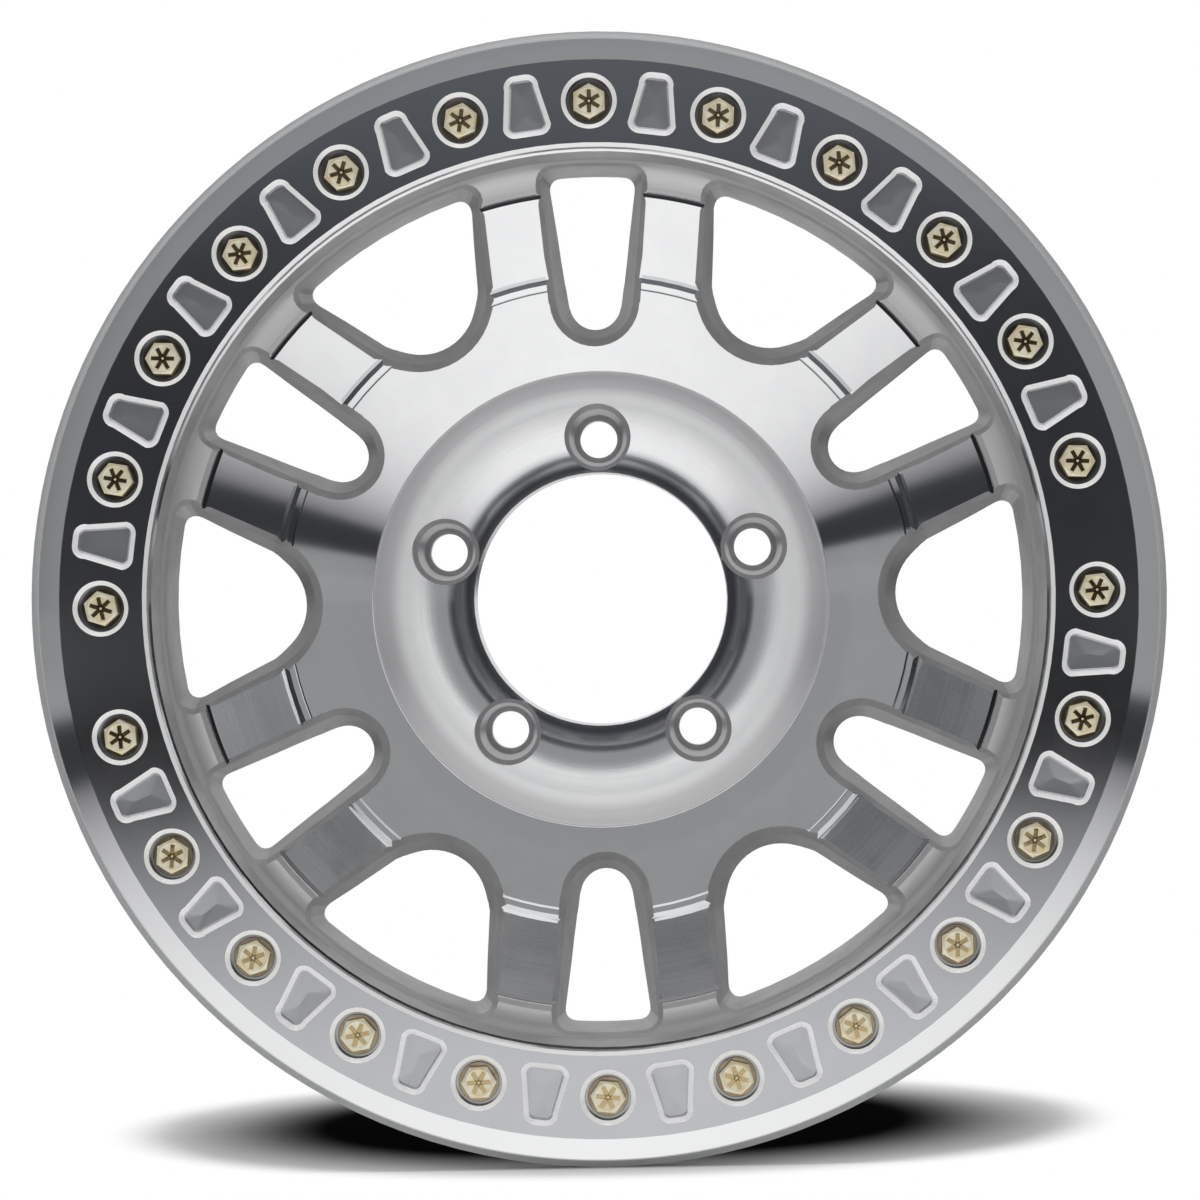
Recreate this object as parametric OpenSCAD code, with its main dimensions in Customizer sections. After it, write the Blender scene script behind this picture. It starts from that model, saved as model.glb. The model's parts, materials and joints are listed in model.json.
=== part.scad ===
// Car wheel whose outboard tyre bead is clamped under a bolted ring.
// It stands upright: the spin axis is Y and the outboard side faces -Y.
// The origin is the centre of the hub mounting face.
// Each module draws its piece lying flat, with Z pointing outboard from the hub face,
// so a height below is always the distance outboard from the hub face.

/* [Rim] */
// Bead seat diameter, 17 inch nominal
bead_seat_d = 436.6; // [430:0.1:445]
// Width between the two bead faces, 9 inch nominal
rim_w = 228.6; // [222:0.1:236]
// How far the hub face lies outboard of the rim's middle plane
hub_offset = -12; // [-15:0.5:-8]
// Thickness of the barrel and drop centre wall
barrel_wall = 5.8; // [5:0.1:7]
// Depth of the straight barrel below the bead seat
barrel_drop = 6.3; // [4:0.1:8]
// Depth of the drop centre below the bead seat
well_depth = 18.8; // [16:0.1:20]
// Width of the drop centre floor
well_w = 40; // [34:0.5:46]
// Height of the inboard flange above the bead seat
flange_rise = 17.3; // [14:0.1:20]
// Width of the inboard flange outside the bead face
flange_w = 12; // [10:0.1:16]

/* [Clamped bead] */
// Space for the tyre bead between the shoulder and the ring seat
bead_pocket = 20; // [18:0.5:22]
// Depth of the register, which centres the ring and the bead, below the bead seat
register_drop = 2.3; // [1.5:0.1:3.5]
// Height of the shoulder behind the bead, above the bead seat
shoulder_rise = 9.7; // [6:0.1:14]
// Thickness of that shoulder
shoulder_t = 7.5; // [6:0.1:9]
// Width of the flat face that the ring is bolted to
seat_w = 26.8; // [25:0.1:28]

/* [Clamp ring] */
// Thickness of the ring over its seat
ring_t = 12.7; // [12:0.1:16]
// Height of the ring's outer edge above the bead seat
ring_rise = 19.7; // [16:0.1:24]
// How far the ring's lip reaches over the register
ring_lip = 3; // [2:0.1:5]
// Width of the bevel round the outside of the ring
ring_bevel_w = 9.8; // [7:0.1:11]
// Fall of that bevel
ring_bevel_drop = 5; // [3:0.1:6]
// Radius that rounds the outer edge
ring_edge_r = 2.7; // [1.5:0.1:3]
// Chamfer round the ring's bore
ring_bore_chamfer = 1.7; // [1:0.1:3]
// Radial clearance between the ring and the register
ring_fit = 0.3; // [0.1:0.05:0.6]

/* [Ring bolts] */
// Number of ring bolts
bolt_count = 24; // [20:1:24]
// Distance from the register in to the bolt circle
bolt_inset = 7.7; // [7:0.1:9]
// Nominal thread diameter
bolt_d = 8; // [6:0.5:9]
// Length under the head
bolt_l = 25; // [22:1:26]
// Head size across flats
bolt_af = 13; // [11:0.5:14]
// Height of the head
bolt_head_h = 5.3; // [4:0.1:6]
// Diameter of the flat on top of the head, inside its chamfer, as a share of the size across flats
bolt_top_share = 0.88; // [0.8:0.01:0.95]
// Outer diameter of the washer
washer_d = 17; // [15.5:0.5:18]
// Thickness of the washer
washer_t = 1.6; // [1:0.1:2]
// Depth of the counterbore from the ring's face to the washer
counterbore_depth = 8.5; // [7.5:0.1:9]
// Clearance round the washer in the counterbore
washer_fit = 1.3; // [0.8:0.1:1.6]
// Chamfer round the mouth of the counterbore
counterbore_chamfer = 1.9; // [1:0.1:2]
// Clearance on the radius of the shank in the ring and the washer
shank_fit = 0.4; // [0.2:0.05:0.6]
// Clearance on the radius of the shank in its tapped hole
thread_fit = 0.05; // [0.02:0.01:0.1]

/* [Ring pockets] */
// Gaps between bolts that stay bare
bare_gaps = [6, 18];
// Length of a pocket along the radius
pocket_l = 26; // [22:0.5:27]
// Width at the inner end
pocket_w_in = 22.4; // [18:0.1:24]
// Width at the outer end
pocket_w_out = 13; // [10:0.1:16]
// Corner radius
pocket_r = 5; // [3.4:0.1:5.6]
// Bevel round the mouth
pocket_bevel = 2.2; // [1:0.1:2.4]
// Depth of the pocket at its wall
pocket_depth = 4.2; // [3:0.1:5]
// Further fall of the pocket's floor to its middle
pocket_dish = 0.8; // [0.4:0.1:2]

/* [Face] */
// Depth of the cast wall inside the ring seat
lip_depth = 17.8; // [15:0.1:20]
// Width of the blend from that wall to the spokes
root_w = 9.9; // [8:0.1:12]
// Fall of that blend
root_drop = 7; // [5:0.1:9]
// Width and fall of the turned strip inside the blend
strip_w = 2.6; // [1.5:0.1:3.5]
// Width of the groove where the turned spoke face starts
groove_w = 1.7; // [1:0.1:2.5]
// Depth of the groove below the spoke face
groove_depth = 1.3; // [0.8:0.1:2]
// Radius at which the turned spoke face ends
step_r = 138.4; // [134:0.1:142]
// Height of the spoke face there
step_h = 77; // [74:0.5:80]
// Height of the large step up from it
step_rise = 3; // [2:0.1:4]
// Height of the small step up to the disc
ledge_rise = 1; // [0.5:0.1:1.2]
// Radius at which the disc meets the hub dome
dome_r = 98; // [95:0.5:100]
// Height of the face there
dome_h = 60; // [57:0.5:62]
// Bulge of the hub dome
dome_bulge = 7.5; // [5:0.1:9]
// Depth of the disc along the wheel's axis, next to the hub
disc_depth = 25; // [20:0.5:30]

/* [Spokes] */
// Number of spoke pairs
pair_count = 6; // [6:1:6]
// Width of a spoke's turned face
spoke_w = 22.6; // [20:0.1:27]
// Distance of a spoke's centreline from the wheel's axis
spoke_offset = 20; // [19:0.1:21]
// Angle of the centreline away from the middle of its pair
spoke_splay = 4.9; // [4:0.1:6]
// Depth of a spoke along the wheel's axis
spoke_depth = 31; // [27:0.5:34]
// Width of the channel along the back of a spoke
channel_w = 14; // [10:0.5:18]
// Depth of that channel
channel_depth = 14; // [8:0.5:16]

/* [Windows] */
// Inner end of a narrow window at the face
narrow_r_in = 108.3; // [106:0.1:112]
// Inner end of a wide window at the face
wide_r_in = 118.7; // [116:0.1:122]
// Gap left between a window and the foot of the cast wall
window_land = 0.8; // [0.4:0.1:2]
// Radius of the outer corners
window_corner = 7; // [5:0.1:9]
// Width of the drafted wall at the outer end
draft_out = 4.5; // [4:0.1:6]
// Width of the drafted wall at the inner end
draft_in = 8.7; // [6:0.1:9]
// Width added to that wall along the sides of a narrow window
narrow_side_more = 0.6; // [0:0.1:1.5]
// Width added to that wall along the sides of a wide window
wide_side_more = 1.7; // [0:0.1:2.5]

/* [Hub] */
// Diameter of the hub bore
bore_d = 109.6; // [104:0.1:111]
// Height of the bore's front edge
bore_front_h = 48; // [44:0.5:52]
// Chamfer on both ends of the bore
bore_chamfer = 1.2; // [0.5:0.1:2]
// Number of lug holes
lug_count = 5; // [5:1:5]
// Diameter of the lug circle
lug_pcd = 139.7; // [138:0.1:143]
// Diameter of a lug hole
lug_hole_d = 16.3; // [14:0.1:17]
// Height of the small end of the lug seat
lug_seat_h = 15.5; // [12:0.5:18]
// Diameter of the large end of the 60 degree seat
lug_seat_d = 21; // [19:0.1:22]
// Diameter of the socket well at its mouth
lug_well_d = 25; // [23.5:0.1:26]
// Diameter of the spot face round the socket well
lug_spot_d = 28.6; // [27:0.1:29.4]
// Diameter of the mounting pad
pad_d = 172; // [168:0.5:176]
// Depth of the pockets in the pad between the lugs
pad_pocket_depth = 26; // [10:0.5:30]
// Diameter of the valve hole in the drop centre
valve_hole_d = 11.3; // [9:0.1:16]

/* [Hidden] */
$fn = 96;
eps = 1;

// Radii of the rim
bead_r = bead_seat_d/2;
barrel_r = bead_r - barrel_drop;
well_r = bead_r - well_depth;
flange_r = bead_r + flange_rise;
register_r = bead_r - register_drop;
shoulder_r = bead_r + shoulder_rise;
ring_r = bead_r + ring_rise;
ring_bore_r = register_r - seat_w;
bolt_circle_r = register_r - bolt_inset;

// Heights of the rim
mid_h = -hub_offset;
seat_h = mid_h + rim_w/2;
bead_in_h = mid_h - rim_w/2;
end_h = bead_in_h - flange_w;
shoulder_h = seat_h - bead_pocket;
ring_top_h = seat_h + ring_t;
washer_h = ring_top_h - counterbore_depth;
head_h = washer_h + washer_t;
bolt_tip_h = head_h - bolt_l;

// Stations of the face, from the ring seat inwards
edge_gap = 0.3;
edge_chamfer = 1.3;
root_sag = 1.4;
groove_draft = 0.15;
valley_w = 0.9;
valley_sag = 0.19;
wall_run = 2.3;
edge_r = ring_bore_r + edge_gap;
face_r = edge_r - edge_chamfer - wall_run;
land_h = seat_h - lip_depth;
strip_top = [face_r - root_w, land_h - root_drop];
strip_foot = strip_top - [strip_w, strip_w];
spoke_start = strip_foot - [groove_w, groove_depth*0.9];
groove_h = spoke_start[1] - groove_depth;
step_run = 2.2;
ledge_w = 2.6;
ledge_fall = 1.3;
ledge_run = 0.6;
disc_r = step_r - step_run - ledge_w - ledge_run;
disc_h = step_h + step_rise - ledge_fall + ledge_rise;
bore_r = bore_d/2;

// A unit vector at an angle
function dir(a) = [cos(a), sin(a)];

// Points on an arc from angle a to angle b
function arc(c, r, a, b, n) = [for (i = [0:n]) c + r*dir(a + (b - a)*i/n)];

// Points from a to b on an arc that bulges by sag to the left of the way
function bow(a, b, sag, n) =
    let(d = b - a, l = norm(d), u = d/l, v = [-u[1], u[0]])
    let(q = 2*atan(2*sag/l), r = l/(2*sin(q)))
    [for (i = [0:n]) let(t = (2*i/n - 1)*q) (a + b)/2 + r*sin(t)*u + r*(cos(t) - cos(q))*v];

// The hub dome, and the small hollow where the disc runs into it
dome_line = bow([dome_r, dome_h], [bore_r + bore_chamfer, bore_front_h + bore_chamfer], -dome_bulge, 24);
disc_run = [disc_r - dome_r, disc_h - dome_h];
valley_out = [dome_r, dome_h] + valley_w*disc_run/norm(disc_run);
valley_in = (dome_line[0] + dome_line[1])/2;

// The face seen in section, from the foot of the cast wall in to the bore
face_line = concat(
    bow([face_r, land_h], strip_top, root_sag, 8),
    [strip_foot],
    [[strip_foot[0] - groove_draft, groove_h], [spoke_start[0] + groove_draft, groove_h]],
    [spoke_start, [step_r, step_h]],
    [[step_r - step_run, step_h + step_rise]],
    [[step_r - step_run - ledge_w, step_h + step_rise - ledge_fall]],
    [[disc_r, disc_h]],
    bow(valley_out, valley_in, valley_sag, 4),
    [for (i = [1:len(dome_line) - 1]) dome_line[i]]
);

// The same line as height over radius, for pieces that follow the face
face_table = [for (i = [len(face_line) - 1:-1:0]) face_line[i]];
function face_at(r) = lookup(min(r, face_r), face_table);

// The back of the disc, from the pad out to the drop centre
pad_draft = 2;
pad_fillet = [16, 16];
web_t = 2;
web_rise = 9;
web_blend = 6;
web_h = spoke_start[1] - spoke_depth;
back_line = [
    [pad_d/2, 0],
    [pad_d/2 + pad_draft, dome_h - disc_depth - pad_fillet[1]],
    [pad_d/2 + pad_draft + pad_fillet[0], dome_h - disc_depth],
    [step_r, step_h - spoke_depth + web_t],
    [spoke_start[0], web_h],
    [face_r - web_blend, web_h + web_rise],
    [face_r - 1, web_h + web_rise],
    [well_r - barrel_wall - 1, web_h - web_t],
    [well_r - barrel_wall, web_h - web_t - 5]
];

// Rounds and lengths along the outside of the rim
flange_t = 6;
flange_edge_r = 2.5;
flange_curl_r = 9.5;
heel_r = 6.5;
seat_fall = 1.4;
hump_from = 20;
hump_to = 28;
hump_h = 1.8;
barrel_from = 33;
well_slope_w = 16;
well_ramp_w = 22;
well_gap = 28.8;
corner_r = 1.5;
toe_r = 5;
well_front_h = shoulder_h - shoulder_t - well_gap;
well_back_h = well_front_h - well_w;

// The outside of the rim, from the inboard flange out to the ring seat
rim_line = concat(
    [[flange_r - flange_t, end_h]],
    arc([flange_r - flange_edge_r, end_h + flange_edge_r], flange_edge_r, -90, 0, 4),
    arc([flange_r - flange_curl_r, bead_in_h - flange_curl_r], flange_curl_r, 0, 90, 8),
    arc([bead_r + heel_r, bead_in_h + heel_r], heel_r, -90, -175, 6),
    [[bead_r - seat_fall + 0.1, bead_in_h + hump_from - 1]],
    bow([bead_r - seat_fall, bead_in_h + hump_from], [bead_r - 2, bead_in_h + hump_to], -hump_h, 6),
    [[barrel_r, bead_in_h + barrel_from]],
    [[barrel_r, well_back_h - well_slope_w]],
    bow([barrel_r - 1, well_back_h - well_slope_w + 3], [well_r + 1, well_back_h - 2], 0.6, 3),
    [[well_r, well_back_h], [well_r, well_front_h]],
    [[barrel_r - 1, well_front_h + well_ramp_w]],
    arc([barrel_r + toe_r - 1, shoulder_h - shoulder_t - toe_r], toe_r, 160, 90, 4),
    arc([shoulder_r - corner_r, shoulder_h - shoulder_t + corner_r], corner_r, -90, 0, 3),
    arc([shoulder_r - corner_r, shoulder_h - corner_r], corner_r, 0, 90, 3),
    arc([register_r + corner_r, shoulder_h + corner_r], corner_r, -90, -180, 3),
    [[register_r, seat_h - 1], [register_r - 1, seat_h]],
    [[edge_r, seat_h], [edge_r - edge_chamfer, seat_h - edge_chamfer]]
);

// The bore
bore_line = [
    [bore_r, bore_front_h],
    [bore_r, bore_chamfer],
    [bore_r + bore_chamfer, 0]
];

// The inside of the rim, from the drop centre back to the inboard flange
inner_line = [
    [well_r - barrel_wall, well_back_h],
    [barrel_r - barrel_wall, well_back_h - well_slope_w - 1],
    [barrel_r - barrel_wall, bead_in_h + 10],
    [bead_r - barrel_wall - 4.2, bead_in_h - 2],
    [bead_r - 3, bead_in_h - flange_t],
    [flange_r - 2*flange_t, end_h + 3]
];

// Centre height of the drop centre, where the valve hole sits
valve_h = (well_front_h + well_back_h)/2;

// Upper half of a window's outline. x runs outwards along the window's middle.
// Its straight side lies at distance p from the axis and leans out by angle a.
function half_window(r_in, r_out, a, p, corner) =
    let(n = [-sin(a), cos(a)], u = dir(a))
    let(tip_r = (p + r_in*sin(a))/(1 - sin(a)), tip = [r_in + tip_r, 0])
    let(q = p - corner, t = sqrt(pow(r_out - corner, 2) - q*q))
    let(c = q*n + t*u, side_in = tip + tip_r*n, side_out = c + corner*n)
    concat(
        arc(tip, tip_r, 180, 90 + a, 9),
        [for (i = [1:4]) side_in + (side_out - side_in)*i/5],
        arc(c, corner, 90 + a, atan2(c[1], c[0]), 5),
        [for (i = [1:3]) r_out*dir(atan2(c[1], c[0])*(1 - i/3))]
    );

// A closed outline from its upper half, whose first and last points lie on the middle
function both_halves(h) =
    concat(h, [for (i = [len(h) - 2:-1:1]) [h[i][0], -h[i][1]]]);

// The faces between rings of n points each, closed by the first and the last ring
function loft_faces(rings, n) = concat(
    [[for (i = [0:n - 1]) i]],
    [for (k = [0:rings - 2], i = [0:n - 1]) let(j = (i + 1) % n)
        each [[k*n + i, (k + 1)*n + i, (k + 1)*n + j], [k*n + i, (k + 1)*n + j, k*n + j]]],
    [[for (i = [n - 1:-1:0]) (rings - 1)*n + i]]
);

// Cuts one window. Its wall leans steeply from the face to a crease, then runs on to the back.
module window_cut(r_in, side_a, side_p, side_more) {
    skim = 0.4;
    crease_share = 0.38;
    crease_depth = 3.4;
    back_gap = 0.8;
    back_corner = window_corner*0.7;
    r_out = face_r - window_land;
    turn = atan((draft_in - draft_out)/(r_out - r_in));
    mid_p = side_p + (r_out + r_in)/2*sin(side_a);
    side_draft = (draft_in + draft_out)/2 + side_more;
    back_p = mid_p - side_draft - (r_out + r_in)/2*sin(side_a + turn);
    front = both_halves(half_window(r_in, r_out, side_a, side_p, window_corner));
    back = both_halves(half_window(r_in + draft_in + back_gap, r_out - draft_out,
        side_a + turn, back_p, back_corner));
    n = len(front);
    crease = front + (back - front)*crease_share;
    points = concat(
        [for (p = front) [p[0], p[1], ring_top_h]],
        [for (p = front) [p[0], p[1], face_at(norm(p)) + skim]],
        [for (i = [0:n - 1]) [crease[i][0], crease[i][1], face_at(norm(front[i])) - crease_depth]],
        [for (i = [0:n - 1]) [back[i][0], back[i][1], face_at(norm(front[i])) - spoke_depth]],
        [for (p = back) [p[0], p[1], -eps]]
    );
    polyhedron(points, loft_faces(5, n), convexity = 4);
}

// Places its child at each of the spokes, with x along the spoke's centreline
module at_spokes() {
    for (i = [0:pair_count - 1], side = [-1, 1])
        rotate(90 + i*360/pair_count + side*spoke_splay)
            translate([0, side*spoke_offset, 0])
                children();
}

// Cuts the channel along the back of a spoke
module channel_cut() {
    r_in = dome_r + channel_w;
    r_out = spoke_start[0] - channel_w*0.4;
    rise = spoke_start[1] - step_h;
    run = spoke_start[0] - step_r;
    tilt = atan(rise/run);
    straight = (r_out - r_in)/cos(tilt) - channel_w;
    translate([step_r, 0, step_h - spoke_depth])
        rotate([0, -tilt, 0])
            translate([(r_out + r_in)/2 - step_r, 0, -2*channel_depth])
                linear_extrude(3*channel_depth) {
                    square([straight, channel_w], center = true);
                    for (x = [-1, 1])
                        translate([x*straight/2, 0])
                            circle(d = channel_w, $fn = 32);
                }
}

// Cuts one lug hole: spot face, socket well, conical seat and through hole
module lug_cut() {
    seat_angle = 60;
    seat_top = lug_seat_h + (lug_seat_d - lug_hole_d)/2/tan(seat_angle/2);
    step = (lug_spot_d - lug_well_d)/2;
    spot_h = bore_front_h - 1;
    rotate_extrude($fn = 64)
        polygon([
            [0, -eps],
            [lug_hole_d/2, -eps],
            [lug_hole_d/2, lug_seat_h],
            [lug_seat_d/2, seat_top],
            [lug_well_d/2, spot_h - step],
            [lug_spot_d/2, spot_h],
            [lug_spot_d/2, seat_h],
            [0, seat_h]
        ]);
}

// Cuts one pocket in the back of the mounting pad, between two lugs
module pad_pocket_cut() {
    bore_wall = 7.2;
    rim_wall = 6;
    draft = 1;
    sweep = 30;
    r_in = bore_r + bore_wall;
    r_out = pad_d/2 - rim_wall;
    rotate(-sweep/2)
        rotate_extrude(angle = sweep)
            polygon([
                [r_in, -eps],
                [r_out, -eps],
                [r_out - draft, pad_pocket_depth],
                [r_in + draft, pad_pocket_depth]
            ]);
}

// The casting, turned on its face, rim and hub
module wheel() {
    narrow_p = spoke_offset - spoke_w/2;
    wide_p = -spoke_offset - spoke_w/2;
    wide_a = 180/pair_count - spoke_splay;
    tap_h = bolt_tip_h - 3;
    color([0.72, 0.73, 0.75])
        rotate([90, 0, 0])
            difference() {
                rotate_extrude($fn = 180)
                    polygon(concat(rim_line, face_line, bore_line, back_line, inner_line));
                for (i = [0:pair_count - 1]) {
                    rotate(90 + i*360/pair_count)
                        window_cut(narrow_r_in, spoke_splay, narrow_p, narrow_side_more);
                    rotate(90 + (i + 0.5)*360/pair_count)
                        window_cut(wide_r_in, wide_a, wide_p, wide_side_more);
                }
                at_spokes() channel_cut();
                for (i = [0:lug_count - 1]) {
                    rotate(90 + i*360/lug_count)
                        translate([lug_pcd/2, 0, 0])
                            lug_cut();
                    rotate(90 + (i + 0.5)*360/lug_count)
                        pad_pocket_cut();
                }
                at_bolts()
                    translate([0, 0, tap_h])
                        cylinder(r = bolt_d/2 + thread_fit, h = seat_h - tap_h + eps, $fn = 32);
                rotate(90 - 180/pair_count)
                    translate([well_r + eps, 0, valve_h])
                        rotate([0, -90, 0])
                            cylinder(d = valve_hole_d, h = barrel_wall + 3*eps, $fn = 32);
            }
}

// Places its child on each of the ring bolts' axes
module at_bolts() {
    for (i = [0:bolt_count - 1])
        rotate(90 + i*360/bolt_count)
            translate([bolt_circle_r, 0, 0])
                children();
}

// A keystone outline, narrow end outwards, set in by d from its full size
function keystone(d) =
    let(lean = atan((pocket_w_in - pocket_w_out)/2/pocket_l), side = d/cos(lean))
    let(x_in = -pocket_l/2 + d, x_out = pocket_l/2 - d)
    let(mid_w = (pocket_w_in + pocket_w_out)/4 - side)
    let(y_in = mid_w - x_in*tan(lean), y_out = mid_w - x_out*tan(lean))
    let(r = max(pocket_r - d, 0.5), n = 5)
    let(turn_in = tan((90 + lean)/2)*r, turn_out = tan((90 - lean)/2)*r)
    concat(
        arc([x_in + r, -(y_in - turn_in)], r, 180, 270 - lean, n),
        arc([x_out - r, -(y_out - turn_out)], r, 270 - lean, 360, n),
        arc([x_out - r, y_out - turn_out], r, 0, 90 + lean, n),
        arc([x_in + r, y_in - turn_in], r, 90 + lean, 180, n)
    );

// Cuts one keystone pocket: bevelled mouth, steep wall, and a hipped floor
module pocket_cut() {
    wall_run = 0.8;
    hip_run = 6.5;
    floor_in = pocket_bevel + wall_run;
    outline = [keystone(-eps), keystone(pocket_bevel), keystone(floor_in)];
    height = [eps, -pocket_bevel, -pocket_depth];
    n = len(outline[0]);
    apex = floor_in + hip_run;
    points = concat(
        [for (k = [0:2], p = outline[k]) [p[0], p[1], height[k]]],
        [[-pocket_l/2 + apex, 0, -pocket_depth - pocket_dish]],
        [[pocket_l/2 - apex, 0, -pocket_depth - pocket_dish]]
    );
    hip = [for (i = [0:n - 1]) (i < n/4 || i >= 3*n/4) ? 3*n : 3*n + 1];
    walls = [for (k = [0:1], i = [0:n - 1]) let(j = (i + 1) % n)
        each [[k*n + i, k*n + j, (k + 1)*n + j], [k*n + i, (k + 1)*n + j, (k + 1)*n + i]]];
    base = [for (i = [0:n - 1]) let(j = (i + 1) % n)
        each hip[i] == hip[j]
            ? [[2*n + i, 2*n + j, hip[i]]]
            : [[2*n + i, 2*n + j, hip[j]], [2*n + i, hip[j], hip[i]]]];
    polyhedron(points, concat([[for (i = [n - 1:-1:0]) i]], walls, base), convexity = 4);
}

// The ring that clamps the outboard bead
module beadlock_ring() {
    bevel_r = ring_r - ring_edge_r;
    bevel_h = ring_top_h - ring_bevel_drop;
    lip_h = seat_h - ring_lip;
    edge_h = bevel_h - 1.4*ring_edge_r;
    edge_sag = 0.22*ring_edge_r;
    color([0.66, 0.68, 0.70])
        rotate([90, 0, 0])
            difference() {
                rotate_extrude($fn = 180)
                    polygon(concat(
                        [[ring_bore_r, seat_h]],
                        [[ring_bore_r, ring_top_h - ring_bore_chamfer]],
                        [[ring_bore_r + ring_bore_chamfer, ring_top_h]],
                        [[bevel_r - ring_bevel_w, ring_top_h]],
                        bow([bevel_r, bevel_h], [ring_r, edge_h], -edge_sag, 8),
                        [[ring_r, lip_h + 2], [ring_r - 2, lip_h]],
                        [[register_r + ring_fit + 1, lip_h]],
                        [[register_r + ring_fit, lip_h + 1]],
                        [[register_r + ring_fit, seat_h]]
                    ));
                at_bolts() {
                    translate([0, 0, seat_h - eps])
                        cylinder(r = bolt_d/2 + shank_fit, h = ring_t, $fn = 32);
                    translate([0, 0, washer_h])
                        cylinder(r = washer_d/2 + washer_fit, h = counterbore_depth + eps, $fn = 64);
                    translate([0, 0, ring_top_h - counterbore_chamfer])
                        cylinder(
                            r1 = washer_d/2 + washer_fit,
                            r2 = washer_d/2 + washer_fit + counterbore_chamfer + eps,
                            h = counterbore_chamfer + eps,
                            $fn = 64
                        );
                }
                for (i = [0:bolt_count - 1])
                    if (len(search(i, bare_gaps)) == 0)
                        rotate(90 + (i + 0.5)*360/bolt_count)
                            translate([bolt_circle_r, 0, ring_top_h])
                                pocket_cut();
            }
}

// A hexagon head bolt with its axis on Z, its head's underside at height zero
module hex_bolt() {
    chamfer_angle = 28;
    top_r = bolt_top_share*bolt_af/2;
    corner_r = bolt_af/sqrt(3);
    intersection() {
        cylinder(r = corner_r, h = bolt_head_h, $fn = 6);
        rotate_extrude($fn = 48)
            polygon([
                [0, 0],
                [corner_r + eps, 0],
                [corner_r + eps, bolt_head_h - (corner_r + eps - top_r)*tan(chamfer_angle)],
                [top_r, bolt_head_h],
                [0, bolt_head_h]
            ]);
    }
    translate([0, 0, -bolt_l])
        cylinder(d = bolt_d, h = bolt_l + bolt_head_h/2, $fn = 32);
}

// The ring bolts, each turned to where its thread happened to pull up
module ring_bolts() {
    color([0.80, 0.72, 0.50])
        rotate([90, 0, 0])
            for (i = [0:bolt_count - 1])
                rotate(90 + i*360/bolt_count)
                    translate([bolt_circle_r, 0, head_h])
                        rotate(i*37 % 60)
                            hex_bolt();
}

// The washers under the heads
module ring_washers() {
    color([0.78, 0.70, 0.48])
        rotate([90, 0, 0])
            at_bolts()
                translate([0, 0, washer_h])
                    difference() {
                        cylinder(d = washer_d, h = washer_t, $fn = 48);
                        translate([0, 0, -eps])
                            cylinder(r = bolt_d/2 + shank_fit, h = washer_t + 2*eps, $fn = 32);
                    }
}

wheel();
beadlock_ring();
ring_bolts();
ring_washers();
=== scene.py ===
# %% [markdown]
# # A car wheel with a bolted clamp ring
# The wheel is a one-piece alloy casting whose face has been turned bright on a lathe. A flat
# ring, bolted on with 24 yellow zinc plated bolts, clamps the outboard tyre bead. All of it could
# be modelled again here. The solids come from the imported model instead, which has the true sizes.
# Blender adds what a solid can't say: the lathe's marks, the skin of the casting, the plating,
# the small fasteners and the light.

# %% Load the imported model
import json
import math

import bpy
import numpy as np
from mathutils import Matrix, Vector

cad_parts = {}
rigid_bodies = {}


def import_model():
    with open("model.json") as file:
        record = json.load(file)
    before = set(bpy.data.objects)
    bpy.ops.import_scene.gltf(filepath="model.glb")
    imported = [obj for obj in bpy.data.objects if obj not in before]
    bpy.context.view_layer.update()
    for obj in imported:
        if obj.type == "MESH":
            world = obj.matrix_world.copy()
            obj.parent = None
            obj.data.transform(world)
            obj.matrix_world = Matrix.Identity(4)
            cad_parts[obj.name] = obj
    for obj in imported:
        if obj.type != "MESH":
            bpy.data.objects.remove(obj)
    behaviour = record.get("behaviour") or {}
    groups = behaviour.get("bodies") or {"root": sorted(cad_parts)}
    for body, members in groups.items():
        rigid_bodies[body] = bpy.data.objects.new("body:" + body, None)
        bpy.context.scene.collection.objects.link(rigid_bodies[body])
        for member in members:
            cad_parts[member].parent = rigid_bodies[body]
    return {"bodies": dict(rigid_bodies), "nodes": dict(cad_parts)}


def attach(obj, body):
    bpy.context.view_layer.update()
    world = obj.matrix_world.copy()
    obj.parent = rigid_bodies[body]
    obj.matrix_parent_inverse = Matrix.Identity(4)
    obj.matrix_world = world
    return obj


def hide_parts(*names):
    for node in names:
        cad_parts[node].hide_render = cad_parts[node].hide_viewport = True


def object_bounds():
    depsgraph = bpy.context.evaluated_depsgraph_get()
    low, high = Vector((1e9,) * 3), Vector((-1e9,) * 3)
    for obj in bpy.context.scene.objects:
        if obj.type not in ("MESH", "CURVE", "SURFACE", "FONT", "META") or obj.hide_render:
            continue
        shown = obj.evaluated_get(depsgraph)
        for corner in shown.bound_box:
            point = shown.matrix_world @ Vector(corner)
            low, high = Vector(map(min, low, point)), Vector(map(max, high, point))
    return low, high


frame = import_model()
cad_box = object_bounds()
body = next(iter(frame["bodies"]))
MM = 0.001
print("nodes:", sorted(frame["nodes"]), "on body", body)

# %% [markdown]
# ## The camera
# The photograph was taken almost square on, from about two and a half metres, so the wheel fills
# the frame with little perspective. The wheel had rolled a degree or so on its rim before the
# picture was taken. Rolling the camera the other way gives the same picture and leaves the model
# upright.

# %% Camera
RIM_CENTRE = Vector((0.00056, -0.130, -0.00038))
CAMERA_PLACE = Vector((0.0306, -2.709, 0.0008))
LENS_MM, SENSOR_MM = 184.57, 36.0
ROLL_DEG = -1.1
SIGHT_LIMIT = 60.0

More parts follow.
